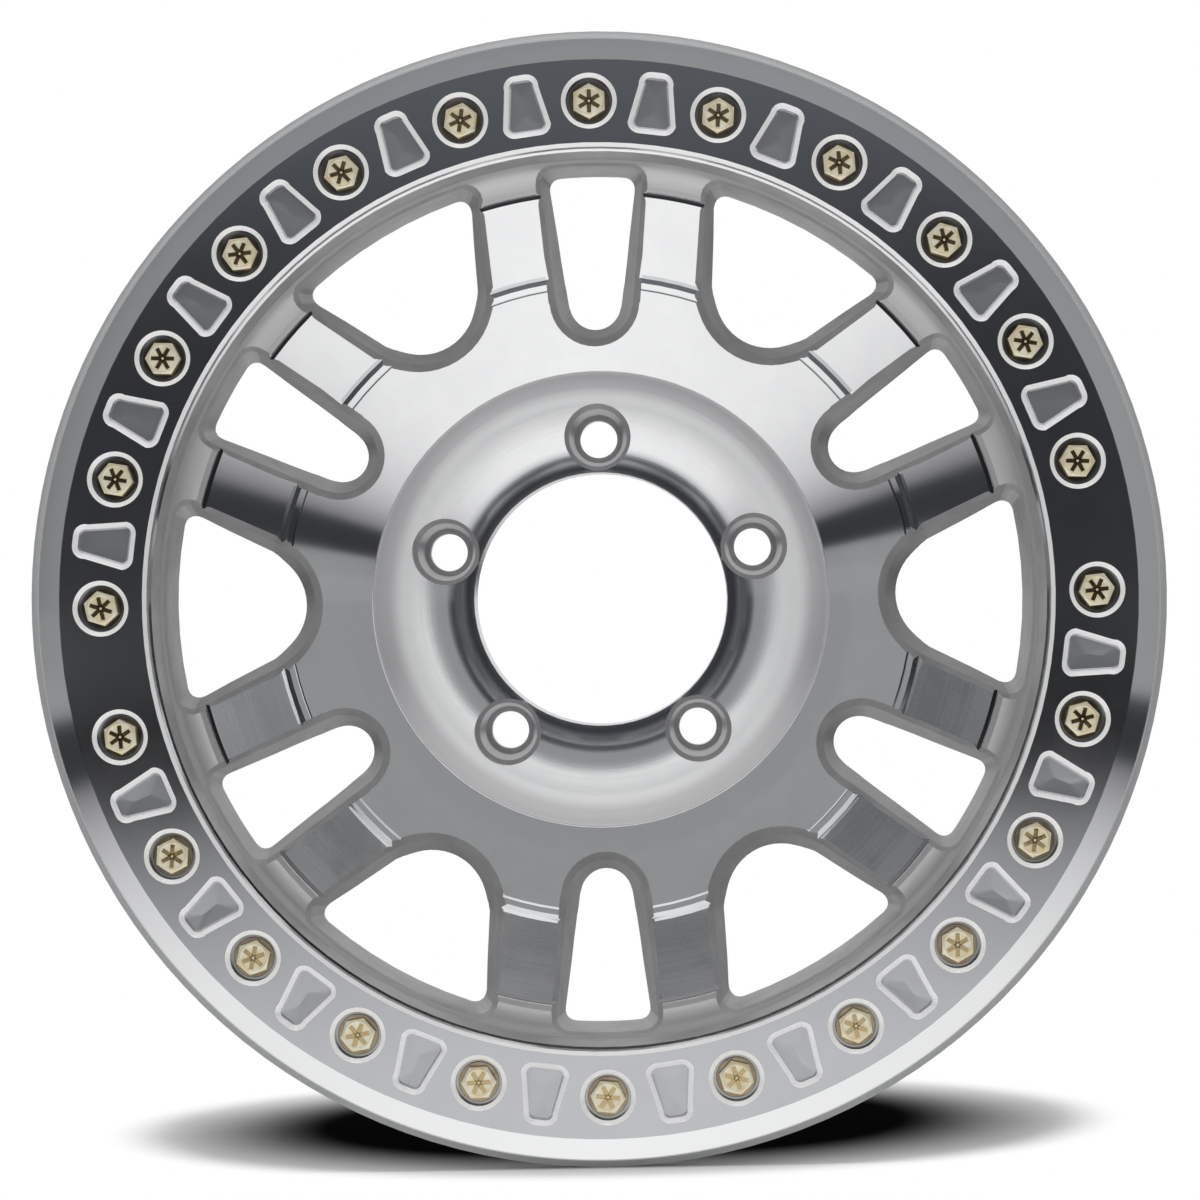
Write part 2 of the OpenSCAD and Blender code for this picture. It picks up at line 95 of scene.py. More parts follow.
camera = bpy.data.objects.new("camera", bpy.data.cameras.new("camera"))
camera.data.lens = LENS_MM
camera.data.sensor_width = SENSOR_MM
camera.data.clip_end = SIGHT_LIMIT
aim = (RIM_CENTRE - CAMERA_PLACE).to_track_quat("-Z", "Y").to_matrix().to_4x4()
roll = Matrix.Rotation(math.radians(ROLL_DEG), 4, "Z")
camera.matrix_world = Matrix.Translation(CAMERA_PLACE) @ aim @ roll
bpy.context.scene.collection.objects.link(camera)
bpy.context.scene.camera = camera
bpy.context.scene.view_settings.view_transform = "Standard"
print("camera to rim:", round(RIM_CENTRE.y - CAMERA_PLACE.y, 3), "m")

# %% [markdown]
# ## Shader maths as plain expressions
# Most finishes on this wheel depend on where a point lies: its distance from the axis, and its
# height along it. Written as nodes by hand such rules are hard to read. One small class wraps a
# socket, so that an expression such as `1 - mask` adds its Math nodes by itself.

# %% The socket class
class Signal:
    """A value that varies over a surface. Arithmetic on it adds Math nodes."""

    def __init__(self, finish, socket):
        self.finish = finish
        self.socket = socket

    def math(self, operation, *others):
        return self.finish.node("ShaderNodeMath", {"operation": operation}, [self, *others])

    def vector(self, operation, *others, out=0):
        settings = {"operation": operation}
        return self.finish.node("ShaderNodeVectorMath", settings, [self, *others], out)

    def scaled(self, amount):
        """A vector times a number."""
        values = {0: self, "Scale": amount}
        return self.finish.node("ShaderNodeVectorMath", {"operation": "SCALE"}, values)

    def __add__(self, other):
        return self.math("ADD", other)

    def __mul__(self, other):
        return self.math("MULTIPLY", other)

    def __sub__(self, other):
        return self.math("SUBTRACT", other)

    def __truediv__(self, other):
        return self.math("DIVIDE", other)

    def __rsub__(self, other):
        return self.finish.node("ShaderNodeMath", {"operation": "SUBTRACT"}, [other, self])

    def __neg__(self):
        return self * -1.0

    __radd__ = __add__
    __rmul__ = __mul__

    def step(self, low, high):
        """0 at low, 1 at high, and a smooth rise between. low may be the larger one."""
        settings = {"interpolation_type": "SMOOTHSTEP"}
        return self.finish.node("ShaderNodeMapRange", settings, {0: self, 1: low, 2: high})

    def band(self, low, high, soft):
        """1 between low and high, fading over soft."""
        return self.step(low - soft, low + soft) * self.step(high + soft, high - soft)


# %% [markdown]
# A material is a tree of nodes. The second class holds one tree, and has one method that adds any
# node: it takes the node's type, its settings and what goes into its sockets.

# %% The material class
class Finish:
    """One material, or the world. Its node method adds any node, and returns its output."""

    def __init__(self, name, tree=None):
        if tree is None:
            self.material = bpy.data.materials.new(name)
            self.material.use_nodes = True
            tree = self.material.node_tree
        self.tree = tree
        self.shader = next((n for n in tree.nodes if n.type == "BSDF_PRINCIPLED"), None)

    def plug(self, socket, value):
        if isinstance(value, Signal):
            self.tree.links.new(value.socket, socket)
        else:
            socket.default_value = value

    def node(self, kind, settings=None, values=None, out=0):
        node = self.tree.nodes.new(kind)
        stops = (settings or {}).pop("stops", None)
        for key, value in (settings or {}).items():
            setattr(node, key, value)
        if stops:
            ramp = node.color_ramp.elements
            while len(ramp) < len(stops):
                ramp.new(0.5)
            for element, (place, colour) in zip(ramp, stops):
                element.position = place
                element.color = (*colour, 1.0)
        pairs = values.items() if isinstance(values, dict) else enumerate(values or [])
        for key, value in pairs:
            self.plug(node.inputs[key], value)
        if isinstance(out, tuple):
            return [Signal(self, node.outputs[o]) for o in out]
        return Signal(self, node.outputs[out])

    def mix(self, factor, a, b):
        """Colour a where factor is 0, and b where it is 1."""
        values = {"Factor": factor, 6: a, 7: b}
        return self.node("ShaderNodeMix", {"data_type": "RGBA"}, values, out=2)

    def set(self, **values):
        """Sets the shader's own sockets: Base_Color stands for Base Color."""
        for key, value in values.items():
            self.plug(self.shader.inputs[key.replace("_", " ")], value)

    def attribute(self, name):
        """A mask that was stored on the piece's faces."""
        return self.node("ShaderNodeAttribute", {"attribute_name": name}, out="Fac")


print("shader helpers are ready")

# %% [markdown]
# ## The studio
# Polished metal has no colour of its own to show: it shows the room. The photographer's room can
# be read back from the wheel. White paper lies under it and runs on towards the camera. Behind
# the camera the room is dark, the sides are grey, round the lens lies a brighter zone like a
# window, and all that lies behind the wheel is white. Lamps and cards could be set up for each of
# these. Here the world is painted that way for reflections, as one ramp on the angle away from
# the camera, because one ramp is easy to set against the picture. The camera itself sees plain
# white.

# %% The room as a ramp
ROOM_RAMP = [
    # behind the wheel: white
    (0.00, (1.00, 1.00, 1.00)),
    (0.36, (0.95, 0.95, 0.95)),
    # the dark walls, which the lip's steep faces mirror
    (0.46, (0.030, 0.033, 0.037)),
    (0.65, (0.032, 0.036, 0.041)),
    (0.68, (0.055, 0.060, 0.066)),
    # what the spokes' slope mirrors
    (0.740, (0.10, 0.106, 0.114)),
    (0.746, (0.13, 0.137, 0.145)),
    # what the ring's bevel mirrors
    (0.753, (0.32, 0.325, 0.33)),
    (0.765, (0.32, 0.325, 0.33)),
    # what the disc mirrors
    (0.785, (0.285, 0.29, 0.295)),
    (0.86, (0.285, 0.29, 0.295)),
    # the zone round the lens, and the camera
    (0.95, (0.35, 0.355, 0.36)),
    (0.985, (0.35, 0.355, 0.36)),
    (0.993, (0.06, 0.065, 0.07)),
]
WHITE = (1.0, 1.0, 1.0, 1.0)
world = bpy.data.worlds.new("studio")
bpy.context.scene.world = world
world.use_nodes = True
sky = Finish("studio", world.node_tree)
place = sky.node("ShaderNodeTexCoord", out="Generated")
aside, towards, up = sky.node("ShaderNodeSeparateXYZ", values=[place], out=("X", "Y", "Z"))
facing = -towards
room = sky.node("ShaderNodeValToRGB", {"stops": ROOM_RAMP}, [(facing + 1.0) / 2.0])
print("room ramp:", len(ROOM_RAMP), "stops")

# %% The dim corner, the camera, the soft boxes and the window
CORNER_SHADE = 0.5
LENS_LEVEL, LENS_GLOW = 0.045, 0.13
LENS_GREEN, LENS_BLUE = 1.06, 1.15
WINDOW_SIDE, WINDOW_TOP, WINDOW_REST = 0.70, 0.85, 0.22
CORNER_RISE, CORNER_FACING = (0.30, 0.60), (0.515, 0.485)
LENS_EDGE, LENS_RISE = (0.990, 0.9945), (0.048, 0.084)
BOX_UP, BOX_ASIDE, BOX_FACING = (0.17, 0.42, 0.04), (0.40, 0.28), (0.3, 0.5)
WINDOW_ZONE, WINDOW_ASIDE, WINDOW_UP = (0.90, 0.978, 0.004), (0.03, 0.12), (0.05, 0.20)
corner = aside.step(*CORNER_RISE) * up.step(*CORNER_RISE) * facing.step(*CORNER_FACING)
dimmed = room.scaled(1.0 - corner * CORNER_SHADE)
at_lens = facing.step(*LENS_EDGE)
lens_level = LENS_LEVEL + LENS_GLOW * up.step(*LENS_RISE)
lens_colour = sky.node("ShaderNodeCombineXYZ",
                       values=[lens_level, lens_level * LENS_GREEN, lens_level * LENS_BLUE])
around_lens = sky.mix(at_lens, dimmed, lens_colour)
soft_box = up.band(*BOX_UP) * aside.math("ABSOLUTE").step(*BOX_ASIDE) * facing.step(*BOX_FACING)
window_side = WINDOW_REST + aside.step(*WINDOW_ASIDE) * WINDOW_SIDE
window_level = window_side.math("MAXIMUM", up.step(*WINDOW_UP) * WINDOW_TOP)
window_light = facing.band(*WINDOW_ZONE) * window_level
painted = sky.mix(soft_box.math("MAXIMUM", window_light), around_lens, WHITE)
print("the room is painted")

# %% Who sees what
AMBIENT = (0.72, 0.72, 0.72, 1.0)
seen, mirrored = sky.node("ShaderNodeLightPath", out=("Is Camera Ray", "Is Glossy Ray"))
lit = sky.mix(mirrored, AMBIENT, painted)
shown = sky.mix(seen, lit, WHITE)
background = next(n for n in sky.tree.nodes if n.type == "BACKGROUND")
sky.plug(background.inputs["Color"], shown)
print("world ready, ambient level", AMBIENT[0])

# %% [markdown]
# ## The floor
# In the studio this is a roll of white paper, with a small soft shadow where the rim touches it.
# That shadow is partly the lamps' own and partly painted shade in the paper's colour. The wheel's
# lower half mirrors the paper. A paper cut to size could lie on a wider grey floor, but its edges
# would then show from other sides. One large plane is plain white to the camera outside the shadow.
# To a reflection it shows painted light instead: the brightness that lit paper would have, falling
# off to the sides and towards the camera. Past the paper's edge it shows the room's grey, painted
# as well.

# %% The paper as the wheel mirrors it
FLOOR_Z = cad_box[0].z
FLOOR_SIZE = 60.0
PAPER_HALF_WIDTH, PAPER_LENGTH = 1.4, 4.7
GREY_FROM_X, GREY_LEVEL, GREY_SLANT = 2.4, 0.5, (0.44, 0.66)
# painted light on the paper as reflections see it: bright on the middle line, a dark line beside,
# then grey
SHEEN_RAMP = [
    # from the middle line out to the paper's edge
    (0.00, (0.96, 0.96, 0.96)),
    (0.17, (0.86, 0.86, 0.86)),
    (0.295, (0.63, 0.63, 0.64)),
    (0.424, (0.34, 0.34, 0.35)),
    (0.485, (0.21, 0.21, 0.22)),
    # the dark line beside it, and the grey that follows
    (0.520, (0.035, 0.037, 0.041)),
    (0.820, (0.030, 0.032, 0.036)),
    (0.86, (0.32, 0.325, 0.33)),
]
# painted light that falls off from the wheel's foot towards the camera
LIGHT_FALLOFF_RAMP = [
    # from the paper's near end, at 0, to the wheel's foot, at 1
    (0.00, (0.03, 0.03, 0.03)),
    (0.04, (0.03, 0.03, 0.03)),
    (0.06, (0.62, 0.62, 0.62)),
    (0.28, (0.74, 0.74, 0.74)),
    (0.63, (0.84, 0.84, 0.84)),
    (0.84, (1.00, 1.00, 1.00)),
]
bpy.ops.object.select_all(action="DESELECT")
bpy.ops.mesh.primitive_plane_add(size=FLOOR_SIZE, location=(0.0, 0.0, FLOOR_Z))
floor = bpy.context.object
floor.name = "floor"
paper = Finish("paper")
paper.shader.inputs["Specular IOR Level"].default_value = 0.0
spot = paper.node("ShaderNodeTexCoord", out="Object")
across, along = paper.node("ShaderNodeSeparateXYZ", values=[spot], out=("X", "Y"))
side = across.math("ABSOLUTE")
sheen = paper.node("ShaderNodeValToRGB", {"stops": SHEEN_RAMP}, [side / PAPER_HALF_WIDTH])
light_falloff = paper.node("ShaderNodeValToRGB", {"stops": LIGHT_FALLOFF_RAMP},
                  [(along + PAPER_LENGTH) / PAPER_LENGTH])
# past the paper's edge, a painted grey of the room, lighter where the floor lies further ahead than
# aside
far_side = side.step(PAPER_HALF_WIDTH, GREY_FROM_X)
far_level = GREY_LEVEL + (-along / side).step(*GREY_SLANT) * GREY_LEVEL
far_grey = paper.node("ShaderNodeCombineXYZ", values=[far_level, far_level, far_level])
paper_light_falloff = paper.mix(far_side, light_falloff, far_grey)
# the painted light is an emission, which only reflections see
glow = paper.node("ShaderNodeEmission", values=[sheen.vector("MULTIPLY", paper_light_falloff)])
print("floor at z =", round(FLOOR_Z, 4))

# %% The painted shadow on the paper
SHADOW_MIDDLE_Y = 0.09
SHADOW_HALF_X, SHADOW_HALF_Y = 0.215, 0.27
SHADOW_FADE, SHADOW_END = (0.60, 1.05), (0.92, 1.08)
# painted shadow: inside this ellipse the paper's colour darkens to near black, on top of the lamps'
# own shadow
PAINTED_SHADOW_COLOUR = (0.004, 0.004, 0.004, 1.0)
PAPER_COLOUR = (0.9, 0.9, 0.9, 1.0)
shadow_x = across / SHADOW_HALF_X
shadow_y = (along - SHADOW_MIDDLE_Y) / SHADOW_HALF_Y
from_middle = (shadow_x * shadow_x + shadow_y * shadow_y).math("SQRT")
lit_paper = from_middle.step(*SHADOW_FADE)
paper.set(Base_Color=paper.mix(lit_paper, PAINTED_SHADOW_COLOUR, PAPER_COLOUR), Roughness=0.9)
seen, mirror_ray = paper.node("ShaderNodeLightPath", out=("Is Camera Ray", "Is Glossy Ray"))
beyond = from_middle.step(*SHADOW_END) * seen
white = paper.node("ShaderNodeEmission", values=[WHITE])
matt = paper.node("ShaderNodeMixShader",
                  values=[beyond, Signal(paper, paper.shader.outputs[0]), white])
mixed = paper.node("ShaderNodeMixShader", values=[mirror_ray, matt, glow])
output = next(n for n in paper.tree.nodes if n.type == "OUTPUT_MATERIAL")
paper.plug(output.inputs["Surface"], mixed)
floor.data.materials.append(paper.material)
print("the paper keeps a shadow", SHADOW_HALF_X * 2, "m wide")

# %% [markdown]
# ## The lamps
# The world gives most of the light. Two large soft lamps add a little from above and from the
# front left, so that the cast skin and the zinc get a lighter side. Sun lamps would draw hard
# shadows, which the picture hasn't got. Reflections don't show the lamps, because the painted
# room has its own soft boxes.

# %% Lamps
def soft_lamp(name, place, size, watts):
    """A rectangular lamp that looks at the wheel's middle."""
    lamp = bpy.data.objects.new(name, bpy.data.lights.new(name, "AREA"))
    lamp.data.shape = "RECTANGLE"
    lamp.data.size, lamp.data.size_y = size
    lamp.data.energy = watts
    turn = (-Vector(place)).to_track_quat("-Z", "Y").to_matrix().to_4x4()
    lamp.matrix_world = Matrix.Translation(place) @ turn
    lamp.visible_camera = False
    lamp.visible_glossy = False
    bpy.context.scene.collection.objects.link(lamp)
    print(name, watts, "W")


soft_lamp("top_box", place=(0.0, -0.25, 1.75), size=(0.9, 0.7), watts=15.0)
soft_lamp("front_box", place=(-0.6, -2.4, 1.2), size=(1.4, 1.0), watts=8.0)

# %% [markdown]
# ## Copies that can be shaded smoothly
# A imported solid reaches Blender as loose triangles. Subdividing them would round off what has to
# stay crisp. A copy of the solid has its doubles merged instead, so that neighbours share their
# corners and a curved face is shaded as one. Edges sharper than a set angle stay sharp.

# %% A merged copy
MERGE_DISTANCE = 2e-6


def merged_copy(node, name, angle_deg):
    """A shaded copy of a CAD node, which stands for it."""
    piece = bpy.data.objects.new(name, frame["nodes"][node].data.copy())
    bpy.context.scene.collection.objects.link(piece)
    bpy.ops.object.select_all(action="DESELECT")
    piece.select_set(True)
    bpy.context.view_layer.objects.active = piece
    if piece.data.has_custom_normals:
        bpy.ops.mesh.customdata_custom_splitnormals_clear()
    bpy.ops.object.mode_set(mode="EDIT")
    bpy.ops.mesh.select_all(action="SELECT")
    bpy.ops.mesh.remove_doubles(threshold=MERGE_DISTANCE)
    bpy.ops.object.mode_set(mode="OBJECT")
    bpy.ops.object.shade_smooth_by_angle(angle=math.radians(angle_deg))
    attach(piece, body)
    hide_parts(node)
    print(name, len(piece.data.vertices), "corners", len(piece.data.polygons), "faces")
    return piece


# %% Where each face lies
def face_places(piece):
    """x, z, radius and height in mm, and the normal's outward and forward parts, of every face."""
    count = len(piece.data.polygons)
    centre = np.empty(count * 3)
    normal = np.empty(count * 3)
    piece.data.polygons.foreach_get("center", centre)
    piece.data.polygons.foreach_get("normal", normal)
    x, y, z = centre.reshape(-1, 3).T / MM
    nx, ny, nz = normal.reshape(-1, 3).T
    radius = np.hypot(x, z)
    return x, z, radius, -y, (nx * x + nz * z) / radius, -ny


def distance_to_hole(x, z, radius, circle_r, first_deg, spacing_deg):
    """Distance in mm from every face to the nearest hole of a bolt circle."""
    half = spacing_deg / 2
    turn = (np.degrees(np.arctan2(z, x)) - first_deg + half) % spacing_deg - half
    turn = np.radians(turn)
    return np.hypot(radius * np.cos(turn) - circle_r, radius * np.sin(turn))


def store_mask(piece, name, values):
    """Keeps one number per face, for the shader to read."""
    mask = piece.data.attributes.new(name, "FLOAT", "FACE")
    mask.data.foreach_set("value", values.astype(np.float32))
    print(name, "on", int(values.sum()), "faces of", piece.name)


# %% [markdown]
# ## What the lathe cut
# A wheel comes from its mould with a grey skin. The lathe then cuts the hub, the disc, the front
# of the spokes and the whole outside bright, and a drill opens the lug seats. The walls of the
# windows keep the skin. The parts could be painted apart by hand. A rule is safer: a face is
# turned where its middle lies on the path of the tool, given as a line of stations in radius and
# height. The answer is stored on the faces, so a boundary runs exactly along an edge.

# %% The wheel's turned and drilled faces
FACE_STATIONS = [(98.0, 60.0), (133.0, 79.7), (133.6, 78.7), (136.2, 80.0), (138.4, 77.0),
                 (171.7, 97.73), (171.8, 96.4), (173.3, 96.4), (173.4, 98.9), (176.0, 101.5),
                 (179.0, 102.3), (183.0, 104.8), (185.9, 108.5), (188.2, 125.0), (189.5, 126.3)]
PATH_TOLERANCE = 0.35
DOME_FOOT_R = 98.0
DOME_CREST = (83.87, 27.88, 35.09)
BORE_R, BORE_MOUTH_R = 56.2, 56.0
WALL_INNER_R, WALL_OUTER_R, WALL_TOP_H = 185.95, 188.2, 124.5
BARREL_R, FLANGE_R, MIN_OUTWARD = 195.0, 214.0, -0.3
PAD_R, PAD_H = 87.0, 0.5
LUG_CIRCLE_R, LUG_SEAT_R = 69.85, 14.6
wheel = merged_copy("wheel", "wheel_casting", 18.0)
x, z, radius, height, outward, _ = face_places(wheel)
crest_r, crest_h, dome_radius = DOME_CREST
dome = crest_h + np.sqrt(np.maximum(dome_radius**2 - (radius - crest_r)**2, 0.0))
stations = np.array(FACE_STATIONS)
tool_path = np.interp(radius, stations[:, 0], stations[:, 1])
tool_path = np.where(radius < DOME_FOOT_R, dome, tool_path)
cast_wall = (radius > WALL_INNER_R) & (radius < WALL_OUTER_R) & (height < WALL_TOP_H)
turned_face = (height > tool_path - PATH_TOLERANCE) & (radius > BORE_MOUTH_R) & ~cast_wall
outside = (radius > BARREL_R) & (outward > MIN_OUTWARD) | (radius > FLANGE_R)
bore = radius < BORE_R
pad = (height < PAD_H) & (radius < PAD_R)
lug_gap = distance_to_hole(x, z, radius, LUG_CIRCLE_R, 90.0, 72.0)
store_mask(wheel, "turned", turned_face | outside | bore | pad)
store_mask(wheel, "drilled", (lug_gap < LUG_SEAT_R) & ~turned_face)

# %% [markdown]
# ## The lathe's marks
# A lathe leaves fine ridges that run round the axis, and they draw a highlight out along the
# radius. A picture of ridges or an anisotropic shader could fake that. Here the normal itself is
# leant in and out along the radius by noise that depends on the radius alone, because the ridges
# then sit right on every face. The solid's curved faces are flat facets, so the normal's sideways
# part, which a turned surface can't have, is taken out as well.

# %% Radius, height and the lathe's normal
RIDGE_SCALE, SWELL_SCALE = 9.0, 0.11


def about_axis(finish):
    """Object place, radius and height in mm, and the unit vector away from the spin axis."""
    place = finish.node("ShaderNodeTexCoord", out="Object")
    x, y, z = finish.node("ShaderNodeSeparateXYZ", values=[place], out=("X", "Y", "Z"))
    away = finish.node("ShaderNodeCombineXYZ", values=[x, 0.0, z])
    length = away.vector("LENGTH", out="Value")
    return place, length * 1000.0, y * -1000.0, away.vector("NORMALIZE")


def lathe_normal(finish, radius, away, turned, fine, coarse):
    """The surface's normal with its sideways part taken out, and the lathe's ridges put in."""
    normal = finish.node("ShaderNodeNewGeometry", out="Normal")
    around = away.vector("CROSS_PRODUCT", (0.0, 1.0, 0.0))
    sideways = normal.vector("DOT_PRODUCT", around, out="Value")
    true_turn = normal.vector("SUBTRACT", around.scaled(sideways * turned))
    along_radius = {"noise_dimensions": "1D"}
    ridge = finish.node("ShaderNodeTexNoise", along_radius,
                        {"W": radius, "Scale": RIDGE_SCALE, "Detail": 1.0, "Roughness": 0.5})
    swell = finish.node("ShaderNodeTexNoise", along_radius,
                        {"W": radius, "Scale": SWELL_SCALE, "Detail": 1.0, "Roughness": 0.4})
    lean = ((ridge - 0.5) * fine + (swell - 0.5) * coarse) * turned
    return true_turn.vector("ADD", away.scaled(lean)).vector("NORMALIZE")


print("ridges", round(1.0 / RIDGE_SCALE, 2), "mm apart")

# %% [markdown]
# ## The casting's finish
# Two surfaces meet on this casting: a satin grey skin with a fine grain, and bright turned metal
# with ridges. Two materials could share the piece, but the stored masks let one material do both
# and keep their border crisp. Its turned part is split again by radius, because the tool left
# each zone differently smooth: a blurred crest on the hub, a mirror on the disc and spokes, a
# dull root inside the ring, and a coarse cut on the barrel.

# %% The zones of the casting, by radius and height
HUB_EDGE_R = (98.6, 97.4)
OUTER_SLOPE_R, INNER_SLOPE_R = (84.0, 92.0), (79.0, 69.0)
NEAR_BORE_R, BORE_EDGE_R = (67.0, 61.0), (60.5, 58.5)
LEDGE_R, GROOVE_R = (132.9, 138.45, 0.1), (171.65, 173.45, 0.08)
ROOT_START_R, ROOT_END_R = (173.6, 174.2), (187.0, 186.0)
BARREL_CUT_R, PAD_CUT_H = (189.6, 192.0), (1.0, 0.6)
cast = Finish("cast_and_turned_alloy")
place, radius, height, away = about_axis(cast)
turned = cast.attribute("turned")
drilled = cast.attribute("drilled")
bright = turned.math("MAXIMUM", drilled)
on_hub = radius.step(*HUB_EDGE_R)
outer_slope_shade = radius.step(*OUTER_SLOPE_R) * on_hub * turned
inner_slope = radius.step(*INNER_SLOPE_R) * turned
near_bore_shade = radius.step(*NEAR_BORE_R)
bore_edge = radius.step(*BORE_EDGE_R) * turned
hub_crest = on_hub * turned * (1.0 - inner_slope)
on_ledge = radius.band(*LEDGE_R)
groove_shade = radius.band(*GROOVE_R)
on_root = radius.step(*ROOT_START_R) * radius.step(*ROOT_END_R) * turned
coarse_cut = radius.step(*BARREL_CUT_R).math("MAXIMUM", height.step(*PAD_CUT_H)) * turned
print("zones of the casting are set")

# %% The casting's colours
SKIN_DARK, SKIN_LIGHT = (0.39, 0.39, 0.395, 1.0), (0.46, 0.46, 0.465, 1.0)
TURNED_DARK, TURNED_LIGHT = (0.885, 0.89, 0.90, 1.0), (0.91, 0.915, 0.92, 1.0)
# painted shade: the hub's outer slope gets a darker grey, so that its reflections come out darker
OUTER_SLOPE_SHADE_GREY = (0.57, 0.57, 0.58, 1.0)
# painted shade: the slope next to the bore is darker, as shade round the hole
NEAR_BORE_SHADE_GREY = (0.42, 0.43, 0.45, 1.0)
ROOT_GREY = (0.64, 0.635, 0.63, 1.0)
# painted shade: the step and groove at the spokes' outer end are dark, as shade in the groove
GROOVE_SHADE_GREY = (0.26, 0.26, 0.27, 1.0)
DRILLED_GREY = (0.66, 0.66, 0.67, 1.0)
mottle = cast.node("ShaderNodeTexNoise", {},
                   {"Vector": place, "Scale": 70.0, "Detail": 4.0, "Roughness": 0.6})
skin_colour = cast.mix(mottle.step(0.3, 0.7), SKIN_DARK, SKIN_LIGHT)
turned_colour = cast.mix(mottle.step(0.35, 0.65), TURNED_DARK, TURNED_LIGHT)
for zone, grey in [(outer_slope_shade, OUTER_SLOPE_SHADE_GREY), (near_bore_shade, NEAR_BORE_SHADE_GREY),
                   (on_root, ROOT_GREY), (groove_shade, GROOVE_SHADE_GREY), (drilled, DRILLED_GREY)]:
    turned_colour = cast.mix(zone, turned_colour, grey)
print("colours of the casting are set")

# %% The casting's ridges, grain and gloss
FINE_LEAN, CREST_LEAN, INNER_LEAN, SWELL_LEAN = 0.08, 0.6, 0.16, 0.006
LEDGE_CALM = 0.9
SKIN_ROUGH, TURNED_POLISH, DRILLED_POLISH, LEDGE_POLISH = 0.50, 0.42, 0.10, 0.04
CREST_BLUR, INNER_BLUR, ROOT_BLUR, COARSE_BLUR, BORE_BLUR = 0.17, 0.05, 0.30, 0.30, 0.10
SKIN_METAL, BRIGHT_METAL = 0.4, 0.6
ROOT_MATT, CREST_MATT, DRILLED_MATT = 0.3, 0.5, 0.3
grit = cast.node("ShaderNodeTexNoise", {}, {"Vector": place, "Scale": 1400.0, "Detail": 2.0})
ridge_lean = hub_crest * CREST_LEAN + inner_slope * INNER_LEAN + FINE_LEAN
ridge_lean = ridge_lean * (1.0 - on_ledge * LEDGE_CALM)
turned_normal = lathe_normal(cast, radius, away, turned, ridge_lean, SWELL_LEAN)
grain = {"Strength": 0.25, "Distance": 0.0003, "Height": grit * (1 - bright)}
roughness = SKIN_ROUGH - turned * TURNED_POLISH + hub_crest * CREST_BLUR
roughness = roughness + inner_slope * INNER_BLUR + on_root * ROOT_BLUR
roughness = roughness - drilled * DRILLED_POLISH + coarse_cut * COARSE_BLUR
roughness = roughness + bore_edge * BORE_BLUR - on_ledge * turned * LEDGE_POLISH
metallic = bright * BRIGHT_METAL + SKIN_METAL - on_root * ROOT_MATT
cast.set(
    Base_Color=cast.mix(bright, skin_colour, turned_colour),
    Roughness=roughness,
    Metallic=metallic - hub_crest * CREST_MATT - drilled * DRILLED_MATT,
    Normal=cast.node("ShaderNodeBump", {}, {**grain, "Normal": turned_normal}),
)
wheel.data.materials.clear()
wheel.data.materials.append(cast.material)
print("the casting has", len(cast.tree.nodes), "nodes")

# %% [markdown]
# ## The clamp ring
# The ring is turned from thick plate. Its flat is satin, its bevel bright, and its bolt holes and
# keystone pockets are milled, with a polished bevel round each mouth. The faces of each kind
# could be picked by hand, once for every pocket. A rule on place and depth finds all 46 at once.

# %% The ring's faces
RING_TOP_H = 139.0
FACE_GAP = 0.02
MOUTH_DEPTH, SEAT_DEPTH = 2.6, 2.0
POCKET_INNER_R, POCKET_OUTER_R, POCKET_LOW_H = 194.0, 222.5, 131.0
BOLT_CIRCLE_R, BOLT_HOLE_R = 208.3, 11.75
RING_CHAMFER_R = 191.8
MOUTH_FORWARD, CHAMFER_FORWARD = 0.5, 0.3
ring = merged_copy("beadlock_ring", "clamp_ring", 24.0)
x, z, radius, height, _, forward = face_places(ring)
bolt_gap = distance_to_hole(x, z, radius, BOLT_CIRCLE_R, 0.0, 15.0)
sunk = height < RING_TOP_H - FACE_GAP
in_hole = (bolt_gap < BOLT_HOLE_R) & sunk
pocketed = (radius > POCKET_INNER_R) & (radius < POCKET_OUTER_R) & sunk
pocketed &= (height > POCKET_LOW_H) & ~in_hole
deep = height < RING_TOP_H - MOUTH_DEPTH
pocket_floor = pocketed & deep
bevelled = (in_hole | pocketed) & ~pocket_floor & (forward > MOUTH_FORWARD)
bevelled &= height > RING_TOP_H - MOUTH_DEPTH
bevelled |= (radius < RING_CHAMFER_R) & (forward > CHAMFER_FORWARD) & sunk
ring.data.polygons.foreach_set("use_smooth", ~pocket_floor)
store_mask(ring, "turned", ~in_hole & ~pocketed)
store_mask(ring, "dull", pocket_floor)
store_mask(ring, "counterbored", in_hole & (height < RING_TOP_H - SEAT_DEPTH))
store_mask(ring, "bevelled", bevelled)

# %% [markdown]
# ## The ring's finish
# One material reads the four masks. The pocket floors are dished, and each side of the dish would
# mirror another part of the room, so their normals are drawn towards the front, which keeps them
# an even grey. The bevelled mouths are near white and half matt, a painted highlight that reads as
# thin light lines from every side. Plain white paint would do that as well, but it would not glint
# when the wheel turns.

# %% The ring's colours and gloss
BEVEL_COLOUR = (0.90, 0.905, 0.91, 1.0)
FLAT_DARK, FLAT_LIGHT = (0.50, 0.51, 0.53, 1.0), (0.56, 0.57, 0.59, 1.0)
RIM_EDGE_GREY = (0.33, 0.335, 0.34, 1.0)
POCKET_GREY = (0.52, 0.53, 0.55, 1.0)
# painted shade: the counterbores are a darker grey than the turned faces, as shade in the holes
HOLE_SHADE_GREY = (0.42, 0.42, 0.42, 1.0)
